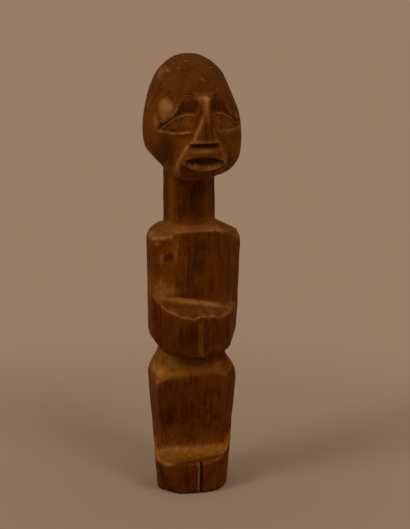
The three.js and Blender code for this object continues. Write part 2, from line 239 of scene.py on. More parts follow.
def torso(x, f, z):
    """Distance outside the torso: trunk cuts, with the smaller of belly and chest in front.

    The ledge's lip ripples as two sines and sags at its +X end, and at -X the ledge runs up into the
    chest in a hollow curve. The underside is a shallow bowl, higher at both sides as the square of the
    distance. A flat piece has split off the front of the -X shoulder.
    """
    ripple = 0.35 * np.sin(0.55 * x + 0.6) + 0.18 * np.sin(1.3 * x + 2)
    sag = 0.4 * ease(11.5, 14, x) - 0.8 * ease(9, 14, x)
    ledge = z - ledge_level(x, f) - (ripple + sag) * ease(11, 16, f)
    belly = smooth_max(within(belly_cuts, x, f, z, 1.4), 0.85 * ledge, 0.5)
    fillet = 0.5 + 1.5 * ease(-5, -12, x)
    front = smooth_min(belly, within(chest_cuts, x, f, z), fillet)
    underside = WAIST - 0.8 + 0.04 * x + 0.022 * x**2 - z
    skin = smooth_max(within(trunk_cuts, x, f, z), front, WEAR)
    skin = smooth_max(skin, within(shoulder_cuts, x, f, z), WEAR)
    skin = smooth_max(skin, split_shoulder(x, f, z) - 3 * ease(-9.5, -7.5, x), 0.4)
    skin = smooth_max(skin, 0.93 * underside, 2)
    skin = smooth_max(skin, within(corner_cuts, x, f, z, 2), 2)
    groove_half = profile(z, (WAIST, 1.3), (LEDGE - 4, 0.7))
    groove = np.maximum(0, 1 - np.abs(x - GROOVE_MIDDLE) / groove_half)
    return skin + GROOVE_DEPTH * groove * ease(12, 14, f) * ease(LEDGE - 2, LEDGE - 6, z)


# Neck
# A thick six-sided post of the same wood. It stands a little back between the shoulders, and the
# knife's flat cuts were left on it.
CHIN = 0.735 * HEIGHT
NECK_REACH = 8.8
NECK_TURN = -14
NECK_ASIDE = -0.2
NECK_BACK = -2.0
NECK_HALF_HEIGHT = 18

neck_cuts = [cut(NECK_TURN + 60 * side, 0, NECK_REACH, 0) for side in range(6)]


def neck(x, f, z):
    """Distance outside the neck's six upright cuts, from inside the shoulders to inside the jaw."""
    post = within(neck_cuts, x - NECK_ASIDE, f - NECK_BACK, z, 1.6)
    middle = (SHOULDER + CHIN) / 2
    return np.maximum(post, np.abs(z - middle) - NECK_HALF_HEIGHT)


# Head
# A tall egg that leans back, cut with a knife. A wedge stands out from it that is the nose above and
# the ground of the mouth below, between leaf-shaped eyes under long brows. The mouth is a deep slit.
MOUTH = 0.784 * HEIGHT
UPPER_LIP = MOUTH + 1
UPPER_LIP_BEND = -0.026  # rise of the lip's line for each square millimetre off the middle
LOWER_LIP = MOUTH - 3
LOWER_LIP_BEND = 0.036
NOSE_BASE = 0.8225 * HEIGHT
TEMPLE = 0.8375 * HEIGHT  # where the head is widest
LID = 0.8894 * HEIGHT  # top of the eye
BROW = 0.9238 * HEIGHT
HEAD_HALF_WIDTH = 18
HEAD_HALF_DEPTH = 17
HEAD_LEAN = 0.22  # backwards, for each millimetre up
FACE_LEAN = 0.09  # of the face's middle line towards +X
EYE_START = 3  # from the face's middle line
EYE_LENGTH = 11.6
WEDGE_REACH = 14.6  # of the wedge's ends, under the chin and in the forehead
MOUTH_ASIDE = 0.8
MOUTH_SLANT = 0.06
MOUTH_DEPTH = 3.2


def egg_axis(z):
    """How far forward the middle of the head is: less, the higher up."""
    return 0.8 - HEAD_LEAN * (z - TEMPLE)


skull_cuts = [
    cut(-110, 41, 30.6, TEMPLE),
    cut(-105, 19, 20.1, TEMPLE),
    cut(-103, 9.7, 18.1, TEMPLE),
    cut(79, 22, 19.8, TEMPLE),
    cut(-90, -45.8, 24.7, TEMPLE),
]
knife_facets = [
    cut(-42.5, 21.3, 18.68, TEMPLE),  # a flat at the end of each brow
    cut(42, 21, 18.9, TEMPLE),
    cut(-76, 43.6, 29.25, TEMPLE),
]


def bare_egg(x, f, z):
    """Distance outside the egg: a superellipse of height and girth, blunter below than above.

    It leans a little to +X at the jaw. A few flat cuts trim its sides.
    """
    above = z > TEMPLE
    rise = np.abs(z - TEMPLE) / np.where(above, HEIGHT - TEMPLE, TEMPLE - CHIN + 0.8)
    power = np.where(above, 2.05, 2.5)
    lean = profile(z, (CHIN, 2), (TEMPLE - 6, 0.2), (TEMPLE + 10, 0), (HEIGHT, 0.2))
    girth = np.hypot((x - lean) / HEAD_HALF_WIDTH, (f - egg_axis(z)) / HEAD_HALF_DEPTH)
    whole = ((rise**power + girth**power) ** (1 / power) - 1) * HEAD_HALF_DEPTH
    return smooth_max(whole, within(skull_cuts, x, f, z), WEAR)


def egg(x, f, z):
    """Distance outside the egg once the knife has taken its shallow flats off it."""
    return smooth_max(bare_egg(x, f, z), within(knife_facets, x, f, z), 0.25)


EYE_EDGE = 0.2  # half the width of the knife's step at an eyelid


def stroke(gap, width, core=1):
    """1 on a line and 0 away from it: the core less the gap in widths, held between 0 and 1."""
    return np.clip(core - gap / width, 0, 1)


def eye_lines(side):
    """How far along the eye a place is, from 0 at the nose to 1, and the heights of its lids and brow there.

    The lids are powers of the distance along the eye, and the brow drops to run close above the lid.
    """
    along = np.clip((side - EYE_START) / EYE_LENGTH, 0, 1)
    upper_lid = LID - 0.3 - 6.6 * along**2.2 - 0.9 * (1 - along) ** 4
    lower_lid = LID - 7.8 + 0.9 * along**3 + 1.6 * (1 - along) ** 3
    brow = np.maximum(BROW - 1.6 - 8 * ease(7, 12, side), upper_lid + 0.8)
    return along, upper_lid, lower_lid, brow


def eye_depth(side, z):
    """Depth of the cuts round the eye, `side` mm from the face's middle line.

    Below the brow the wood slopes in to the upper lid. The eye itself is a leaf between two curved
    lids, with a thin raised rim along the upper one and a slightly sunken ball.
    """
    along, upper_lid, lower_lid, brow = eye_lines(side)
    under_brow = np.clip((brow - z) / np.maximum(brow - upper_lid, 0.8), 0, 1)
    softness = 0.8 + 0.8 * ease(12, 8, side)
    beside_nose = 1 - 0.5 * ease(5.5, 2.5, side) * ease(0.5, -1.5, z - upper_lid)
    above_lower_lid = ease(-EYE_EDGE, EYE_EDGE, z - lower_lid)
    socket = (2.1 - 0.8 * along) * beside_nose * under_brow**softness * above_lower_lid
    leaf = ease(-EYE_EDGE, EYE_EDGE, upper_lid - z) * above_lower_lid
    down = np.clip((upper_lid - z) / np.maximum(upper_lid - lower_lid, 0.6), 0, 1)
    rim = ease(1.1, 0.5, upper_lid - z)
    ball = 0.25 + 0.5 * rim + 0.3 * np.sin(np.pi * down) - 0.25 * down
    inside = ease(15.8, 13.6, side) * ease(-EYE_EDGE, EYE_EDGE, brow - z)
    return (socket - ball * leaf) * inside


def cheek_depth(side, z):
    """Depth of the cheek's own flat cut below the eye."""
    below = ease(LID - 7.2, LID - 8.4, z) * ease(CHIN, CHIN + 7, z)
    return 0.9 * below * ease(16.5, 11, side)


def wedge_sides(side, f, z):
    """Distances outside the wedge's front, which bows a little, and outside a flank, which flares back.

    Below the nose the front steps back to the ground of the mouth, and the flanks run on in one line.
    """
    nose = ease(NOSE_BASE - 0.15, NOSE_BASE + 0.15, z)
    nose_point = nose * profile(z, (NOSE_BASE, 1.7), (LID, 0))
    ground = profile(
        z,
        (CHIN - 1.6, 14.2),
        (CHIN + 0.4, 16.2),
        (CHIN + 3.4, 18.4),
        (MOUTH - 1.4, 19.6),
        (MOUTH + 1.6, 20),
        (NOSE_BASE, 19.6),
        (LID, 17.4),
        (BROW - 2.8, 15.6),
        (BROW - 0.8, 13.6),
    )
    half_width = profile(
        z,
        (CHIN - 0.6, 6.8),
        (CHIN + 1.4, 8.1),
        (CHIN + 4.4, 8.9),
        (MOUTH + 0.6, 8.2),
        (NOSE_BASE, 5.6),
        (LID, 0.5),
        (BROW - 3.3, 0.8),
        (BROW - 1.3, 2),
    )
    flare = profile(z, (CHIN, 0.1), (CHIN + 4.4, 0.3), (NOSE_BASE, 0.45), (BROW, 0.6))
    ahead = 0.95 * (f - ground - nose_point + 0.022 * side**2)
    return ahead, 0.85 * (side - half_width - flare * (ground - f))


def wedge(side, f, z):
    """Distance outside the wedge: the larger of front and flank, and a narrow bevel between them."""
    ahead, flank = wedge_sides(side, f, z)
    skin = smooth_max(smooth_max(ahead, flank, 0.3), 0.75 * (ahead + flank) + 0.5, 0.3)
    chin = 0.94 * (CHIN - z) + 0.34 * (f - WEDGE_REACH)
    forehead = 0.57 * (f - WEDGE_REACH) + 0.82 * (z - BROW + 1.5)
    return smooth_max(smooth_max(skin, chin, 1.8), forehead, 0.8)


def above_lower_lip(side, z):
    """How far a place is above the line of the lower lip, which climbs outwards as the square of `side`."""
    return z - (LOWER_LIP + LOWER_LIP_BEND * side**2)


def mouth_opening(side, z):
    """How open the mouth is, from 0 to 1: its floor climbs outwards to the lower lip."""
    upper_lip = UPPER_LIP + UPPER_LIP_BEND * side**2
    floor = np.clip(above_lower_lip(side, z) / 1.6, 0, 1)
    return floor * ease(0.2, -0.2, z - upper_lip) * ease(6.9, 5.9, side)


def from_nose_cut(z):
    """How far a height is from the middle of the cut under the nose."""
    return np.abs(z - NOSE_BASE + 0.75)


def mouth_depth(side, z):
    """Depth of the mouth, deep under the upper lip, and of the cuts under the nose and the lower lip."""
    under_lip = z - 0.034 * side**2
    chin_cut = ease(CHIN + 4.4, CHIN + 3.2, under_lip) * ease(9.5, 7, side) * ease(CHIN - 1, CHIN + 2, z)
    under_nose = stroke(from_nose_cut(z), 0.7, 1.3) * ease(5.5, 4.6, side)
    return MOUTH_DEPTH * mouth_opening(side, z) + 0.9 * chin_cut + 0.7 * under_nose


def face_middle(z):
    """Where the face's middle line is: it leans, further to +X the higher up."""
    return FACE_LEAN * (z - MOUTH - 1.6)


def beside_mouth(x, z):
    """Distance from the middle of the mouth, and height, for a mouth that slants a little."""
    middle = face_middle(z)
    return np.abs(x - middle - MOUTH_ASIDE), z + MOUTH_SLANT * (x - middle)


def head(x, f, z):
    """Distance outside the head: the smaller of the skull with its eyes and the wedge with its mouth.

    The wedge stands out from the egg by no more than a set height, and only in front.
    """
    side = np.abs(x - face_middle(z))
    whole = egg(x, f, z)
    ahead = ease(2, 6, f - egg_axis(z))
    skull = whole + (eye_depth(side, z) + cheek_depth(side, z)) * ahead
    stand_out = profile(
        z,
        (CHIN - 1.6, 0.8),
        (CHIN + 1.4, 2.2),
        (MOUTH - 1.4, 4.2),
        (NOSE_BASE, 6),
        (LID, 4.5),
        (BROW - 2.8, 2.4),
        (BROW + 0.2, 0.6),
        (BROW + 2.2, -4),
    )
    muzzle = wedge(side, f, z) + mouth_depth(*beside_mouth(x, z))
    stand_out *= ease(2, 9, f - egg_axis(z))
    face = np.maximum(smooth_max(muzzle, whole - stand_out, 0.8), 3 - f)
    return smooth_min(skull, face, profile(z, (LID - 3, 0.35), (BROW - 3, 1.6)))


# Skin of the wood
# The figure is one solid, so its skin is one closed surface. It is found by rays that leave the heart
# of the wood: level rings of them up to the neck, then a fan of rings from the middle of the head.
COLUMNS = 296
FRONT_CROWDING = 0.5
HEAD_CENTRE_F = 1.2
HEAD_CENTRE = TEMPLE + 1
FACE_REACH = 18.0  # from the head's centre to the face
JAW_START = CHIN - 3.5
JAW_TILT = -46
CHIN_BEND = 0.01
MOUTH_BEND_END = 7.5  # rings bend as far as this from the face's middle line
BROW_BEND_END = 13
STEPS = 70
STEP_SHARE = 0.7  # of the distance that is left
FAR = 9.0  # more than any gap that matters
MM = 0.001  # in metres


def figure(x, f, z):
    """The whole figure: below 0 in the wood, above 0 in the air."""
    skin = smooth_min(legs(x, f, z), feet(x, f, z), 0.7)
    skin = smooth_min(skin, waist(x, f, z), 0.8)
    skin = smooth_min(skin, torso(x, f, z), 0.8)
    skin = smooth_min(skin, neck(x, f, z), 1)
    return smooth_min(skin, head(x, f, z), 1)


def stretches(*runs):
    """Evenly spaced values through each (from, to, count) run, without the last value of the run."""
    return np.concatenate([np.linspace(*run, endpoint=False) for run in runs])


def body_rings(level):
    """Level rings of rays, which dip towards +X as the waist and the ledge do."""
    start_f = NECK_BACK * ease(LEDGE + 22, SHOULDER, level)
    slant = profile(level, (HIP - 20, 0), (WAIST, -0.06), (LEDGE, -0.2), (SHOULDER, 0))
    return np.column_stack([start_f, level, 0 * level, slant, 0 * level, 0 * level])


def head_rings(level):
    """Rings of rays that meet the middle of the face at these levels, and bend as lips, lids and brows do."""
    bend = profile(
        level,
        (CHIN, CHIN_BEND),
        (LOWER_LIP, LOWER_LIP_BEND),
        (UPPER_LIP, UPPER_LIP_BEND),
        (NOSE_BASE, 0),
        (LID - 7, 0.004),
        (LID, -0.03),
        (BROW, -0.05),
        (HEIGHT, 0),
    )
    bend_end = profile(level, (MOUTH + 3, MOUTH_BEND_END), (NOSE_BASE + 3, BROW_BEND_END))
    slant = profile(level, (MOUTH + 4, -MOUTH_SLANT), (NOSE_BASE, 0))
    tilt = np.arctan2(level - HEAD_CENTRE, FACE_REACH)
    centre = np.full_like(level, HEAD_CENTRE)
    return np.column_stack([0 * level + HEAD_CENTRE_F, centre, tilt, slant, bend, bend_end])


def skin_points(rings, heading):
    """Where each ray meets the skin: it steps out by a share of the distance left, until none is."""
    start_f, start_z, tilt, slant, bend, bend_end = rings.T[:, :, None]
    across = np.cos(tilt) * np.sin(heading)
    ahead = np.cos(tilt) * np.cos(heading)
    cheek = np.minimum(FACE_REACH * np.abs(np.sin(heading)), bend_end)
    up = np.sin(tilt) + slant * across + np.cos(tilt) * bend * cheek**2 / FACE_REACH
    reach = np.zeros(across.shape)
    for _ in range(STEPS):
        inside = -figure(reach * across, start_f + reach * ahead, start_z + reach * up)
        reach = np.maximum(reach + STEP_SHARE * np.clip(inside, -0.5, 3), 0)
    return np.stack([reach * across, -(start_f + reach * ahead), start_z + reach * up], axis=-1)


body = body_rings(
    stretches(
        (0.15, 1, 3),
        (1, INSTEP - 1, 14),
        (INSTEP - 1, INSTEP + 6, 18),
        (INSTEP + 6, HIP - 3, 26),
        (HIP - 3, WAIST + 5, 32),
        (WAIST + 5, LEDGE - 6, 14),
        (LEDGE - 6, LEDGE + 3, 30),
        (LEDGE + 3, SHOULDER - 4, 26),
        (SHOULDER - 4, SHOULDER + 1, 16),
        (SHOULDER + 1, JAW_START, 14),
    )
)
climb = stretches((0, 1, 12))
jaw = np.column_stack(
    [
        NECK_BACK + (HEAD_CENTRE_F - NECK_BACK) * climb,
        JAW_START + (HEAD_CENTRE - JAW_START) * climb,
        np.arctan(math.tan(math.radians(JAW_TILT)) * climb),
        -MOUTH_SLANT * climb,
        CHIN_BEND * climb,
        0 * climb + MOUTH_BEND_END,
    ]
)
face = head_rings(stretches((CHIN - 1, BROW + 1.5, 92), (BROW + 1.5, HEIGHT, 18)))
summit = head_rings(HEAD_CENTRE + FACE_REACH * np.tan(np.radians(np.linspace(56, 88, 14))))
rings = np.concatenate([body, jaw, face, summit])
turns = np.linspace(-np.pi, np.pi, COLUMNS, endpoint=False)
heading = turns - FRONT_CROWDING * np.sin(turns)
places = skin_points(rings, heading)


def facing(grid):
    """Unit outward directions of a grid of places: across its columns, crossed with up its rings."""
    along_ring = np.roll(grid, -1, axis=1) - np.roll(grid, 1, axis=1)
    up_ring = np.gradient(grid, axis=0)
    out = np.cross(along_ring, up_ring)
    return out / np.maximum(np.linalg.norm(out, axis=-1, keepdims=True), 1e-9)


def sphere_directions(count):
    """Unit directions spread evenly over a ball, along a golden spiral."""
    up = 1 - (2 * np.arange(count) + 1) / count
    turn = np.arange(count) * np.pi * (3 - math.sqrt(5))
    level = np.sqrt(1 - up**2)
    return np.column_stack([level * np.cos(turn), level * np.sin(turn), up])


def wood_around(grid, radius, count=32):
    """Share of a small sphere round each place that lies in the wood: a half on a flat, less on an edge."""
    share = np.zeros(grid.shape[:2])
    for direction in sphere_directions(count):
        near = grid + radius * direction
        depth = figure(near[..., 0], -near[..., 1], near[..., 2])
        share += np.clip(0.5 - depth / (0.6 * radius), 0, 1)
    return share / count


# Wear and tool marks
# The knife and the adze left shallow scoops, longer along the grain than across. Handling has broken
# the edges unevenly, and a small knot on the chest stands in a swirl of grain.
SCOOP = np.array([4.2, 4.2, 10.0])  # across and along the grain
SCOOP_DEPTH = 0.22
LEAST_WEAR = 0.12
SWELL_DEPTH = 0.12  # of the slow waves in the hand-cut faces
CHIP_DEPTH = 0.5
EDGE_REACH = 0.7  # how far round a place the wood is felt for a sharp edge
BROAD_EDGE_REACH = 1.6
HOLLOW_REACH = 2.6
KNOT_X = -10.3
KNOT_Z = 89.2
KNOT_SIZE = 2.5
KNOT_DEPTH = 0.35
KNOT_RING_DEPTH = 0.08
SKIN_REACH = 12  # from the figure's axis to its skin, roughly
CHECK_HALF_WIDTH = 0.3
CHECKS = (  # heading in degrees, from, to, depth
    (-17, 76, 92, 0.25),
    (-6, 84, 97, 0.2),
    (9, 56, 67, 0.25),
    (-24, 57, 66, 0.2),
    (152, 60, 94, 0.4),
    (-161, 18, 41, 0.3),
    (96, 77, 93, 0.25),
    (-78, 120, 139, 0.25),
    (171, 128, 146, 0.3),
    (24, 20, 37, 0.2),
)


def scatter(cells, seed):
    """A number from 0 to 1 for each whole-numbered cell, the same in each run: a sine's far decimals."""
    mixed = np.sin(cells @ np.array([127.1, 311.7, 74.7]) + 17.3 * seed) * 43758.5453
    return mixed - np.floor(mixed)


def unevenness(grid, size, seed):
    """Smooth waves from -1 to 1: chance values on a lattice, eased from each lattice point to the next."""
    place = grid / size
    cell = np.floor(place)
    part = place - cell
    part = part * part * (3 - 2 * part)
    total = np.zeros(grid.shape[:2])
    for corner in itertools.product((0, 1), repeat=3):
        share = np.prod(np.where(corner, part, 1 - part), axis=-1)
        total += share * scatter(cell + corner, seed)
    return 2 * total - 1


def scoops(grid, size, seed):
    """Bowls that meet in ridges: the square of the distance to the nearest of the scattered centres."""
    place = grid / size
    cell = np.floor(place)
    nearest = np.full(grid.shape[:2], FAR)
    for step in itertools.product((-1, 0, 1), repeat=3):
        corner = cell + step
        centre = corner + 0.15 + 0.7 * np.stack([scatter(corner, seed + i) for i in range(3)], axis=-1)
        nearest = np.minimum(nearest, np.sum((centre - place) ** 2, axis=-1))
    return np.clip(1 - nearest / 0.7, 0, 1)


def bell(gap, width):
    """1 where the gap is 0, fading as a bell curve of it within about the width."""
    return np.exp(-((gap / width) ** 2))


edge = np.clip((0.5 - wood_around(places, EDGE_REACH)) / 0.16, 0, 1)
broad_edge = np.clip((0.5 - wood_around(places, BROAD_EDGE_REACH)) / 0.16, 0, 1)
hollow = np.clip((wood_around(places, HOLLOW_REACH) - 0.52) / 0.22, 0, 1)
out = facing(places)
x, y, z = places[..., 0], places[..., 1], places[..., 2]
fine_face = ease(CHIN - 1, CHIN + 3, z) * ease(BROW + 4, BROW, z) * ease(-4, -9, y)

depth = LEAST_WEAR + SCOOP_DEPTH * (1 - 0.75 * fine_face) * scoops(places, SCOOP, 3)
depth += SWELL_DEPTH * (1 + unevenness(places, np.array([9.0, 9.0, 16.0]), 5)) * (1 - 0.8 * fine_face)
from_slot = np.abs(x - SLOT_MIDDLE)
below_instep = ease(INSTEP + 1, INSTEP, z)
at_toes = ease(-9, -12, y)
in_slot = ease(1.8, 0.9, from_slot) * below_instep * at_toes
chipping = 0.5 + 0.5 * unevenness(places, np.array([1.7, 1.7, 2.6]), 8)
depth += CHIP_DEPTH * edge * chipping**2 * (1 - 0.7 * fine_face)
depth *= 1 - 0.85 * in_slot

# The knot: a small pit inside a shallow ring, both uneven
knot_gap = np.hypot(x - KNOT_X, z - KNOT_Z) / KNOT_SIZE
knot_swirl = 1 + 0.45 * unevenness(places, np.array([1.5, 9.0, 2.2]), 2)
knot_gap = np.where(y < 0, knot_gap * knot_swirl, FAR)
depth += KNOT_DEPTH * bell(knot_gap, 0.45) + KNOT_RING_DEPTH * bell(knot_gap - 1.1, 0.35)

# Drying checks: thin cracks that follow the grain
cracks = 0 * z
for turn, low, high, check_depth in CHECKS:
    wander = 0.3 * np.sin(0.35 * z + turn) + 0.15 * np.sin(0.9 * z + 2 * turn)
    axis_turn = np.arctan2(x, -y) - math.radians(turn)
    off_line = np.abs(SKIN_REACH * np.sin(axis_turn) - wander)
    length = ease(low, low + 4, z) * ease(high, high - 4, z) * (np.cos(axis_turn) > 0)
    crack = length * stroke(off_line, CHECK_HALF_WIDTH)
    depth += check_depth * crack
    cracks = np.maximum(cracks, crack)

# Where dust lies with painted top light, where soot and grease stay in the cuts with painted shade, and where
# hands have rubbed the wood pale, with painted highlights.
# Each patch is (x, z, half width, half height, share) on the front, and left is the -X side.
# Ochre dust, partly painted light where the wood faces the lamps: the left temple, the left hip and the sides
# of the neck
DUST_AND_TOP_LIGHT_PATCHES = (
    (-13.5, 78, 6, 4.5, 0.8),  # left of the chest, where it runs out onto the ledge
    (-11, 18, 6, 5, 0.7),  # foot of the left shin
    (4, 18, 10, 2.5, 0.5),
    (1, 84, 9, 14, 0.2),  # chest
    (15.5, 84, 3.5, 14, 0.35),
    (4.5, 107, 2, 11, 0.25),  # right of the neck
    (-8, 47, 6, 3, 0.5),  # top of the left thigh
    (-8.8, 107, 1.8, 14, 0.7),  # left of the neck
    (0, 101, 11, 1.6, 0.5),
    (-17, 140, 2.6, 13, 0.65),  # left temple
    (-17, 46, 3, 5, 0.8),  # left hip
    (-4.4, 138.5, 1.6, 2.2, 0.7),  # inner end of the left eye
    (-6.5, 131.5, 3, 2, 0.3),
    (5.5, 138, 2, 4, 0.5),
    (12, 132, 3.5, 7, 0.5),  # right cheek
    (-10.5, 50, 5, 3, 0.8),  # left of the waist
    (-10, 91.5, 4.5, 5, 0.35),  # round the knot
)
# Soot, and painted shade under the belly and down the middle of the neck
SOOT_AND_SHADE_PATCHES = (
    (0.5, 50.6, 5, 1.4, 0.25),  # under the belly
    (-1, 85, 4, 7, 0.3),
    (1.5, 135.5, 3, 4, 0.3),  # front of the nose
    (0, 108, 4, 10, 0.7),  # middle of the neck
    (-5, 33, 9, 8, 0.35),
    (-5, 60, 9, 6, 0.6),
    (-6, 6, 4, 4, 0.5),
    (0.8, 136, 0.5, 4, 0.5),  # streaks down the nose
    (3.2, 136.5, 0.5, 4, 0.5),
    (-13, 128, 4, 6, 0.4),
)
# Pale rubbed wood, and painted highlights: the root of the nose, the crown's edge, the rim of the brow's flat
# and the upper lip
RUBBED_AND_HIGHLIGHT_PATCHES = (
    (1.7, 146.6, 2.6, 0.6, 0.85),  # root of the nose
    (2.3, 144, 1, 3, 1),
    (-11.8, 153.4, 0.7, 1, 1),  # crown's edge
    (-9.6, 155.3, 1.2, 0.5, 1),
    (-14.9, 138.5, 0.6, 2.5, 0.6),  # rim of the brow's flat
    (-1, 98.8, 8, 0.7, 0.5),  # foot of the neck
    (-13.4, 89, 0.6, 2.2, 0.45),  # beside the knot
    (-8, 90.5, 0.5, 2.6, 0.4),
    (-7.2, 93.5, 0.5, 1.5, 0.3),
    (-15, 94.5, 0.8, 0.8, 0.5),
    (-13.5, 79, 2.5, 2.6, 0.35),  # left of the chest
    (-10.5, 76.6, 4, 1.2, 0.4),
    (-14.5, 75, 2, 1.5, 0.3),
    (0, 15.8, 14, 1, 0.3),  # instep
    (0.6, 128.9, 5, 0.75, 0.75),  # upper lip
    (-13.5, 96.6, 3.8, 0.8, 0.75),
    (-14.5, 46.5, 2.2, 1.6, 0.8),  # corner of the left thigh
    (-9, 50, 4, 2, 0.3),
    (-12, 12.3, 2.6, 0.8, 0.75),
    (-9, 16.7, 6, 0.7, 0.4),  # back of the instep
)
# Grey dirt, and painted highlights at the foot of the brow's flat and down the edge of the left shin
GREYED_AND_HIGHLIT_PATCHES = (
    (3, 70, 11, 2, 0.9),  # ledge
    (-10, 141.5, 2.4, 2.4, 0.6),  # foot of the brow's flat
    (9, 12, 5, 1.6, 0.6),
    (-8, 63, 3, 6, 0.5),
    (-15.6, 36, 1.6, 9, 0.3),  # edge of the left shin
)
SCRATCHED_PATCHES = (
    (-4, 41, 9, 2.2, 0.9),  # top of the thighs
    (-3, 36, 8, 3, 0.4),
    (-12, 97, 5, 1.5, 0.8),
    (-4, 146, 8, 3, 0.6),  # brow
)
RED_PATCHES = (
    (-16.5, 66, 2, 9, 1),  # left of the belly
    (1.3, 134.8, 3.6, 4, 0.9),  # nose
    (1, 119, 7, 2.6, 0.9),  # chin
    (7, 124, 1.6, 2.6, 0.9),
    (-4, 145, 5, 3, 0.7),
    (-2, 152, 2.5, 3, 0.5),
    (-3, 36, 10, 9, 0.5),
    (0, 7, 12, 4, 0.6),
    (-9, 70.5, 6, 1.5, 0.8),
)


def patched(patches):
    """Soft round patches on the front: each fades as a bell curve of the distance, and they add up to 1."""
    share = 0 * z
    for patch_x, patch_z, half_width, half_height, strength in patches:
        off = ((x - patch_x) / half_width) ** 2 + ((z - patch_z) / half_height) ** 2
        share += strength * np.exp(-off)
    return np.clip(share, 0, 1) * ease(3, -3, y)


# Lines of the face, by how far a place is to the side of its middle
on_face = ease(-8, -11, y) * ease(CHIN + 1, CHIN + 3, z)
eye_light_side = 0.4 + 0.6 * ease(1, -1, x)  # the painted shade and highlights round the +X eye are weaker
side = np.abs(x - face_middle(z))
upper_lid, lower_lid, brow = eye_lines(side)[1:]
beside_eye = on_face * ease(15.5, 13.8, side) * ease(2.2, 3.4, side)
# dark patina and painted shade under the brow, weaker on the +X side
socket = beside_eye * eye_light_side * ease(0, 0.6, z - upper_lid) * ease(0.6, -1.2, z - brow)
# pale lines along the lids: raised rims, and a painted highlight where they catch the light
lid_lines = np.maximum(
    stroke(np.abs(z - upper_lid + 0.45), 0.4, 1.3) * ease(2.5, 7, side),
    0.8 * stroke(np.abs(z - lower_lid), 0.35, 1.2) * ease(3.6, 5.6, side),
)
nose_cut = on_face * stroke(from_nose_cut(z), 0.6, 1.5) * ease(5.8, 4.8, side)
ahead, flank = wedge_sides(side, -y, z)
# the pale line along the wedge's edge: wear and a painted highlight, brighter on the -X side
wedge_edge = on_face * stroke(np.abs(ahead - flank), 0.8, 1.3) * ease(1.1, 0.6, np.abs(ahead))
wedge_edge *= ease(CHIN + 3, CHIN + 6, z) * ease(BROW - 4, BROW - 6, z) * (0.35 + 0.4 * ease(1, -1, x))

# The mouth's inside, painted dark with soot and painted shade, the pale edge of its lower lip, rubbed and
# with a painted highlight, and the slope from the mouth up towards the nose
mouth_side, mouth_height = beside_mouth(x, z)
open_mouth = mouth_opening(mouth_side, mouth_height) * on_face
inside_mouth = ease(0.85, 0.99, open_mouth)
lip_top = above_lower_lip(mouth_side, mouth_height)
lower_lip = on_face * ease(-1.1, -0.6, lip_top) * ease(1.5, 1.2, lip_top) * ease(7, 5.5, mouth_side)
lip_slope = on_face * ease(6.5, 5, mouth_side) * ease(MOUTH, MOUTH + 1, mouth_height)
lip_slope *= ease(MOUTH + 3.4, MOUTH + 2.6, mouth_height)

# The feet's slot with a painted highlight on its -X lip, and painted shade behind the toes
slot = ease(0.5, 0.25, from_slot) * below_instep * at_toes
slot_lip_highlight = bell(x - SLOT_MIDDLE + 1, 0.28) * ease(INSTEP + 0.5, INSTEP - 0.5, z) * at_toes
toes = ease(INSTEP + 2.6, INSTEP + 1.4, z) * at_toes
shade_behind_toes = toes * bell(z - INSTEP - 0.9 - 0.1 * x, 0.45) * ease(-11, -8, x) * ease(13, 10, x)

# The belly's groove, and a painted highlight on the line where the ledge meets the chest
groove = ease(1.3, 0.4, np.abs(x - GROOVE_MIDDLE)) * ease(WAIST, WAIST + 3, z)
groove *= ease(LEDGE - 3, LEDGE - 8, z)
groove *= ease(-10, -13, y)
from_ledge = np.abs(z - ledge_level(x, -y))
ledge_back_highlight = bell(y + CHEST_REACH, 0.5) * ease(1.2, 0.6, from_ledge) * ease(13, 7, np.abs(x + 2.5))

# The knife's flats on the head, pale from wear and a painted highlight: the -X one at the brow, and one at
# the crown
whole_egg = bare_egg(x, -y, z)
knife_flat_highlights = ease(0, 0.35, within(knife_facets, x, -y, z) - whole_egg) * ease(CHIN, TEMPLE, z)
knife_flat_highlights *= ease(1, -1, x) * ease(TEMPLE + 15, TEMPLE + 12, z)
knife_flat_highlights *= 0.5 + 0.5 * np.maximum(ease(TEMPLE + 7.6, TEMPLE + 9.4, z), ease(-12.8, -14, x))
crown_flat_highlight = ease(0, 0.35, knife_facets[2](x, -y, z) - whole_egg)
crown_flat_highlight *= ease(TEMPLE + 12, TEMPLE + 15, z)

# Soot and grease in the cuts, and painted shade: in the mouth, under the nose and the brow, in the slot,
# behind the toes, near the ground and on what faces down on the belly
soot_and_shade = np.clip(
    patched(SOOT_AND_SHADE_PATCHES)
    + 0.85 * inside_mouth
    + 0.5 * nose_cut
    + 0.5 * socket
    + 0.8 * slot
    + 0.6 * shade_behind_toes
    + 0.8 * cracks
    + 0.9 * bell(knot_gap, 0.6)
    # painted shade: darker near the ground, and on what faces down on the belly below the ledge
    + 0.5 * ease(1.6, 0.2, z)
    + 0.3 * ease(-0.3, -0.7, out[..., 2]) * ease(LEDGE, WAIST + 4, z),
    0,
    1,
)

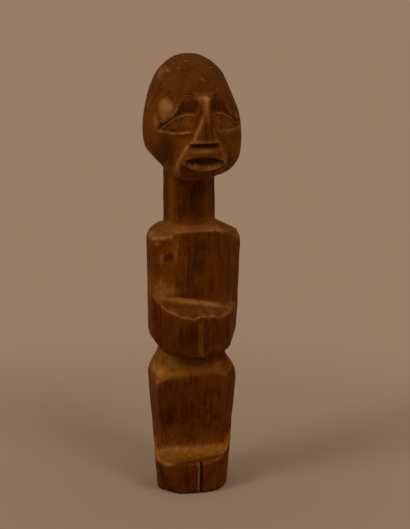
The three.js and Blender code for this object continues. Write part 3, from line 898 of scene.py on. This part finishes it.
# Ochre dust in the hollows, and on what faces up an ochre that is dust and painted light from above. The head
# holds less, and some places are kept clean.
below_head = ease(CHIN + 2, CHIN - 2, z)
dust_and_top_light = ease(0.2, 0.55, out[..., 2]) * below_head + hollow * (0.3 + 0.5 * below_head)
dust_and_top_light = np.clip(dust_and_top_light + patched(DUST_AND_TOP_LIGHT_PATCHES), 0, 1) * (1 - soot_and_shade)
dust_and_top_light = np.maximum(dust_and_top_light, groove)
dust_and_top_light *= 1 - 0.8 * ease(0.8, 0.3, from_ledge) * ease(-11, -12, y)  # the ledge's lip
dust_and_top_light *= 1 - 0.4 * ease(8, 13, np.abs(x)) * ease(SHOULDER - 6, SHOULDER - 4, z)
dust_and_top_light *= 1 - 0.45 * ease(6, 11, x) * ease(HIP - 4, HIP - 1, z) * ease(LEDGE, WAIST, z)
dust_and_top_light *= 1 - 0.8 * ease(INSTEP + 2.2, INSTEP + 0.3, z) * ease(-10, -13, y)  # less dust and painted top light on the toes' top

# Pale rubbed wood on the edges, with edges that face up paler than those that face down as painted light from
# above; then the lines and flats above, which are wear and painted highlights
upward_edge_light = 0.1 + 0.5 * ease(0, 0.3, out[..., 2])
rubbed_and_highlit = np.maximum(edge, 0.9 * broad_edge) * np.where(z > CHIN, 0.5, upward_edge_light)
rubbed_and_highlit *= 1 - 0.8 * np.maximum(socket, lip_slope)
rubbed_and_highlit *= 1 - 0.6 * toes * ease(-11, -9, x)
rubbed_and_highlit *= 1 - 0.7 * ease(12, 14, x) * ease(LEDGE - 6, LEDGE - 3, z) * ease(LEDGE + 4, LEDGE, z)
rubbed_and_highlit = np.maximum.reduce(
    [
        0.85 * rubbed_and_highlit,
        0.4 * crown_flat_highlight,
        lower_lip,
        0.75 * lid_lines * beside_eye * eye_light_side,
        0.8 * knife_flat_highlights,
        0.85 * wedge_edge,
        patched(RUBBED_AND_HIGHLIGHT_PATCHES),
        0.6 * slot_lip_highlight,
        0.7 * ledge_back_highlight,
    ]
)
rubbed_and_highlit *= 1 - soot_and_shade

# The top of the head, greyer where it faces up: grey-brown mottling and painted sheen from above
crown_grey_and_sheen = ease(BROW - 3, BROW + 4, z) * ease(0.05, 0.4, out[..., 2])

# The wear goes into the skin, but for the soles
soles = ease(0.6, 0.1, z)
places = places - out * (depth * (1 - soles))[..., None]

# The soles are flat: the lowest ring is drawn in step by step and laid on the ground
sole_middle = places[0].mean(axis=0) * (1, 1, 0)
sole_rings = [sole_middle + (places[0] * (1, 1, 0) - sole_middle) * part for part in (0.5, 0.85, 0.98)]
grid = np.concatenate([np.array(sole_rings), places])
points = np.concatenate([grid.reshape(-1, 3), [sole_middle], [grid[-1].mean(axis=0)]])
middle = (points.min(axis=0) + points.max(axis=0)) / 2
cad_middle = 500 * (cad_box[0] + cad_box[1])  # half their sum, in mm
shift = np.array([cad_middle.x - middle[0], cad_middle.y - middle[1], 0])
points += shift

column = np.arange(COLUMNS)
following = (column + 1) % COLUMNS
row = COLUMNS * np.arange(len(grid) - 1)[:, None]
skin_faces = np.stack(
    [row + column, row + following, row + COLUMNS + following, row + COLUMNS + column], axis=-1
)
last_row = COLUMNS * (len(grid) - 1)
bottom_faces = np.column_stack([np.full(COLUMNS, len(points) - 2), following, column])
top_faces = np.column_stack([np.full(COLUMNS, len(points) - 1), last_row + column, last_row + following])

mesh = bpy.data.meshes.new("carved_wood")
mesh.from_pydata(
    points * MM, [], [*skin_faces.reshape(-1, 4).tolist(), *bottom_faces.tolist(), *top_faces.tolist()]
)
mesh.shade_smooth()


def spread(values):
    """The values of the skin's grid, put on every point: the soles and the top take those of their ring."""
    sole_values = np.zeros((len(sole_rings), COLUMNS)) + values[0].mean()
    flat = np.concatenate([sole_values, values]).ravel()
    return np.concatenate([flat, [values[0].mean()], [values[-1].mean()]]).astype(np.float32)


for name, values in {
    "soot_and_shade": soot_and_shade,
    "dust_and_top_light": dust_and_top_light,
    "rubbed_and_highlit": rubbed_and_highlit,
    "red": patched(RED_PATCHES) * (1 - soot_and_shade),
    "greyed_and_highlit": patched(GREYED_AND_HIGHLIT_PATCHES),
    "crown_grey_and_sheen": crown_grey_and_sheen,
    "scratched": np.maximum(crown_grey_and_sheen, patched(SCRATCHED_PATCHES)),
    "knot": np.clip(knot_gap / 4, 0, 1),
}.items():
    mesh.attributes.new(name, "FLOAT", "POINT").data.foreach_set("value", spread(values))

carved_wood = bpy.data.objects.new("carved_wood", mesh)
bpy.context.scene.collection.objects.link(carved_wood)
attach(carved_wood, "root")
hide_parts("carved_figure")

# Patina
# Dense reddish-brown wood, blackened and polished by hands. Streaks of the grain show through it, ochre dust
# lies in the hollows and on the ledges, and the edges are rubbed through to paler wood. Painted light and
# shade go with these: paler ochre on what faces up, painted highlights on edges and flats, and painted shade
# in the cuts and under the belly.
GREY = (0.190, 0.1050, 0.0380, 1)
# near black: soot, and painted shade in the cuts and under things
SOOT_AND_SHADE = (0.036, 0.0135, 0.0008, 1)
DARK_PATINA = (0.080, 0.0200, 0.0004, 1)
BROWN = (0.155, 0.0420, 0.0008, 1)
OLIVE_BROWN = (0.170, 0.0560, 0.0016, 1)
RED_BROWN = (0.210, 0.0420, 0.0012, 1)
GREY_BROWN_AND_SHEEN = (0.125, 0.0470, 0.0080, 1)
OCHRE = (0.350, 0.1480, 0.0160, 1)
# pale wood: rubbed through, and painted highlights
PALE_WOOD_AND_HIGHLIGHT = (0.640, 0.3450, 0.1200, 1)

patina = bpy.data.materials.new("patinated_wood")
patina.use_nodes = True
tree = patina.node_tree
surface = tree.nodes["Principled BSDF"]


def feed(socket, value):
    """Links an output to a socket, or sets the socket's own value."""
    if isinstance(value, bpy.types.NodeSocket):
        tree.links.new(value, socket)
    else:
        socket.default_value = value


def node(kind, inputs, output=0, **settings):
    """A new node with its settings and its inputs, by number or name; gives one of its outputs."""
    made = tree.nodes.new(kind)
    for name, value in settings.items():
        setattr(made, name, value)
    for name, value in inputs.items():
        feed(made.inputs[name], value)
    return made.outputs[output]


def math_of(operation, a, b=0.0, clamp=False):
    """What one operation makes of two values."""
    return node("ShaderNodeMath", {0: a, 1: b}, operation=operation, use_clamp=clamp)


def times(a, b, clamp=False):
    """One value times another."""
    return math_of("MULTIPLY", a, b, clamp)


def plus(a, b):
    """One value and another together."""
    return math_of("ADD", a, b)


def about_middle(value):
    """A cloudy value, made to lie round 0."""
    return math_of("SUBTRACT", value, 0.5)


def weighted(first, *others):
    """The sum of (value, weight) pairs, each value times its weight."""
    total = times(*first)
    for pair in others:
        total = plus(total, times(*pair))
    return total


def band(value, low, high):
    """0 below `low` and 1 above `high`, eased between them; `low` may be the larger of the two."""
    limits = {"Value": value, "From Min": low, "From Max": high}
    return node("ShaderNodeMapRange", limits, interpolation_type="SMOOTHSTEP")


def blend(share, a, b):
    """Colour a where the share is 0 and colour b where it is 1."""
    return node("ShaderNodeMix", {0: share, 6: a, 7: b}, output=2, data_type="RGBA", blend_type="MIX")


def noise(coordinates, scale, detail, roughness=0.55, distortion=0.0):
    """Cloudy values round one half."""
    return node(
        "ShaderNodeTexNoise",
        {
            "Vector": coordinates,
            "Scale": scale,
            "Detail": detail,
            "Roughness": roughness,
            "Distortion": distortion,
        },
    )


def attribute(name):
    """A value kept on the mesh's points."""
    return node("ShaderNodeAttribute", {}, output=2, attribute_name=name)


object_place = node("ShaderNodeTexCoord", {}, output=3)
in_mm = node("ShaderNodeMapping", {"Vector": object_place, "Scale": (1000, 1000, 1000)})
along_grain = node("ShaderNodeMapping", {"Vector": object_place, "Scale": (1000, 1000, 55)})
across_grain = node(
    "ShaderNodeMapping", {"Vector": object_place, "Rotation": (0, 0.35, 0), "Scale": (260, 500, 2200)}
)

fibres = noise(along_grain, 1.9, 3, 0.6, 0.3)
streaks = noise(along_grain, 0.5, 4, 0.6, 0.6)
clouds = noise(in_mm, 0.16, 4, 0.6)
patches = noise(in_mm, 0.55, 5, 0.65)
specks = noise(in_mm, 2.6, 3, 0.7)
grit = band(weighted((patches, 0.45), (fibres, 0.3), (specks, 0.25)), 0.4, 0.6)

# The wood's own colour: dark patina, brown and olive in streaks, with reddish stretches
tone = weighted(
    (streaks, 0.45),
    (clouds, 0.35),
    (patches, 0.2),
    (about_middle(fibres), 0.45),
    (about_middle(specks), 0.3),
)
colour = blend(band(tone, 0.4, 0.57), DARK_PATINA, BROWN)
colour = blend(times(band(clouds, 0.47, 0.62), 0.7), colour, OLIVE_BROWN)
redness = times(band(streaks, 0.48, 0.66), band(clouds, 0.55, 0.42))
reddened = times(attribute("red"), band(tone, 0.36, 0.56))
redness = math_of("MAXIMUM", times(redness, 0.7), times(reddened, 0.75))
colour = blend(redness, colour, RED_BROWN)
# grey-brown mottling and painted sheen on the crown
colour = blend(times(attribute("crown_grey_and_sheen"), plus(0.1, times(grit, 0.9))), colour, GREY_BROWN_AND_SHEEN)

# Fine scratches across the grain
scratches = times(band(noise(across_grain, 1.1, 2), 0.6, 0.7), attribute("scratched"))
colour = blend(times(scratches, 0.26), colour, PALE_WOOD_AND_HIGHLIGHT)

# The knot's swirl: rings of pale and dark grain round it
rings_of_grain = math_of("SINE", times(plus(times(attribute("knot"), 3.5), patches), 6))
swirl = times(band(attribute("knot"), 0.75, 0.25), band(rings_of_grain, -0.3, 0.8))
colour = blend(times(swirl, 0.3), colour, OCHRE)

# What lies on the wood, and where it is worn, with painted light and shade: dust with painted top light, grey
# dirt with painted highlights, pale rubbed wood with painted highlights, and soot with painted shade
# ochre: dust, and painted light on what faces up
dust_and_top_light_share = times(attribute("dust_and_top_light"), plus(0.35, times(grit, 0.6)), clamp=True)
colour = blend(dust_and_top_light_share, colour, OCHRE)
# grey: dirt, and painted highlights
colour = blend(times(attribute("greyed_and_highlit"), plus(0.2, times(grit, 0.6))), colour, GREY)
# pale: rubbed wood and painted highlights
worn_and_highlit = times(attribute("rubbed_and_highlit"), plus(0.6, times(grit, 0.5)), clamp=True)
colour = blend(times(worn_and_highlit, 0.9), colour, PALE_WOOD_AND_HIGHLIGHT)
# soot, and painted shade in the cuts and under things
soot_and_shade_share = times(attribute("soot_and_shade"), plus(0.4, patches), clamp=True)
colour = blend(times(soot_and_shade_share, 0.9), colour, SOOT_AND_SHADE)

feed(surface.inputs["Base Color"], colour)
roughness = plus(plus(0.36, times(patches, 0.22)), times(dust_and_top_light_share, 0.25))
feed(surface.inputs["Roughness"], roughness)
relief = weighted((fibres, 0.6), (specks, 0.25), (patches, 0.3))
bump = node("ShaderNodeBump", {"Strength": 0.7, "Distance": 0.0004, "Height": relief})
feed(surface.inputs["Normal"], bump)
surface.inputs["Specular IOR Level"].default_value = 0.02
mesh.materials.append(patina)

# Floor
# A plain pale sheet of matt paper, wide enough to fill the picture. Painted shade makes it a little greyer
# round the figure.
PAPER = (0.63, 0.555, 0.495, 1)
SHADED_PAPER = (0.54, 0.465, 0.4, 1)
floor_mesh = bpy.data.meshes.new("floor")
FLOOR_HALF = 3.0
floor_mesh.from_pydata(
    [(FLOOR_HALF * a, FLOOR_HALF * b, 0) for a, b in ((-1, -1), (1, -1), (1, 1), (-1, 1))],
    [],
    [(0, 1, 2, 3)],
)
floor = bpy.data.objects.new("floor", floor_mesh)
bpy.context.scene.collection.objects.link(floor)
paper = bpy.data.materials.new("pale_paper")
paper.use_nodes = True
tree = paper.node_tree
sheet = tree.nodes["Principled BSDF"]
sheet.inputs["Roughness"].default_value = 0.9
sheet.inputs["Specular IOR Level"].default_value = 0.1
on_floor = node("ShaderNodeTexCoord", {}, output=3)
distance = node("ShaderNodeVectorMath", {0: on_floor}, output=1, operation="LENGTH")
feed(sheet.inputs["Base Color"], blend(band(distance, 0.05, 0.22), SHADED_PAPER, PAPER))
floor_mesh.materials.append(paper)

# Studio light
# Two wide soft lamps with warm bulbs, far off to the left and the right of the camera, and a warm room
# that is bright overhead and dim at the sides.
WARM = (1, 0.73, 0.52)
LAMPS = (  # heading from straight ahead towards +X and height in degrees, strength
    (-70, 44, 0.6),
    (24, 48, 0.42),
)
LAMP_SPREAD = math.radians(22)
ROOM_SIDES = 0.1
ROOM_OVERHEAD = 0.36

for number, (turn, height, strength) in enumerate(LAMPS):
    light = bpy.data.lights.new(f"lamp_{number}", "SUN")
    light.angle = LAMP_SPREAD
    light.energy = strength
    light.color = WARM
    lamp = bpy.data.objects.new(f"lamp_{number}", light)
    level = math.cos(math.radians(height))
    towards = Vector(
        (
            level * math.sin(math.radians(turn)),
            -level * math.cos(math.radians(turn)),
            math.sin(math.radians(height)),
        )
    )
    lamp.location = towards
    lamp.rotation_euler = towards.to_track_quat("Z", "Y").to_euler()
    bpy.context.scene.collection.objects.link(lamp)

room = bpy.data.worlds.new("room")
bpy.context.scene.world = room
room.use_nodes = True
room_tree = room.node_tree
direction = room_tree.nodes.new("ShaderNodeTexCoord")
parts = room_tree.nodes.new("ShaderNodeSeparateXYZ")
overhead = room_tree.nodes.new("ShaderNodeMapRange")
overhead.inputs["To Min"].default_value = ROOM_SIDES
overhead.inputs["To Max"].default_value = ROOM_OVERHEAD
background = room_tree.nodes["Background"]
background.inputs["Color"].default_value = (*WARM, 1)
room_tree.links.new(direction.outputs["Generated"], parts.inputs["Vector"])
room_tree.links.new(parts.outputs["Z"], overhead.inputs["Value"])
room_tree.links.new(overhead.outputs["Result"], background.inputs["Strength"])
bpy.context.scene.view_settings.view_transform = "Standard"

# Camera
# A long lens a little above the figure's head, to the -X side of its face. It looks down at the
# chest and takes in the whole figure.
PICTURE_HEIGHT = 529
FOCAL_PIXELS = 1928
SENSOR = 24.0
DISTANCE = 0.7
AIM_HEIGHT = 0.0832
AIM_ASIDE = 0.0051
TURN = math.radians(14)
PITCH = math.radians(15)
right = np.array([math.cos(TURN), -math.sin(TURN), 0])
looking = np.array([math.sin(TURN) * math.cos(PITCH), math.cos(TURN) * math.cos(PITCH), -math.sin(PITCH)])
aim = np.array([0, 0, AIM_HEIGHT]) + AIM_ASIDE * right + MM * shift

lens = bpy.data.cameras.new("camera")
lens.sensor_width = SENSOR
lens.lens = FOCAL_PIXELS / PICTURE_HEIGHT * SENSOR
lens.clip_start = 0.01
camera = bpy.data.objects.new("camera", lens)
camera.location = aim - DISTANCE * looking
camera.rotation_euler = Vector(looking).to_track_quat("-Z", "Y").to_euler()
bpy.context.scene.collection.objects.link(camera)
bpy.context.scene.camera = camera
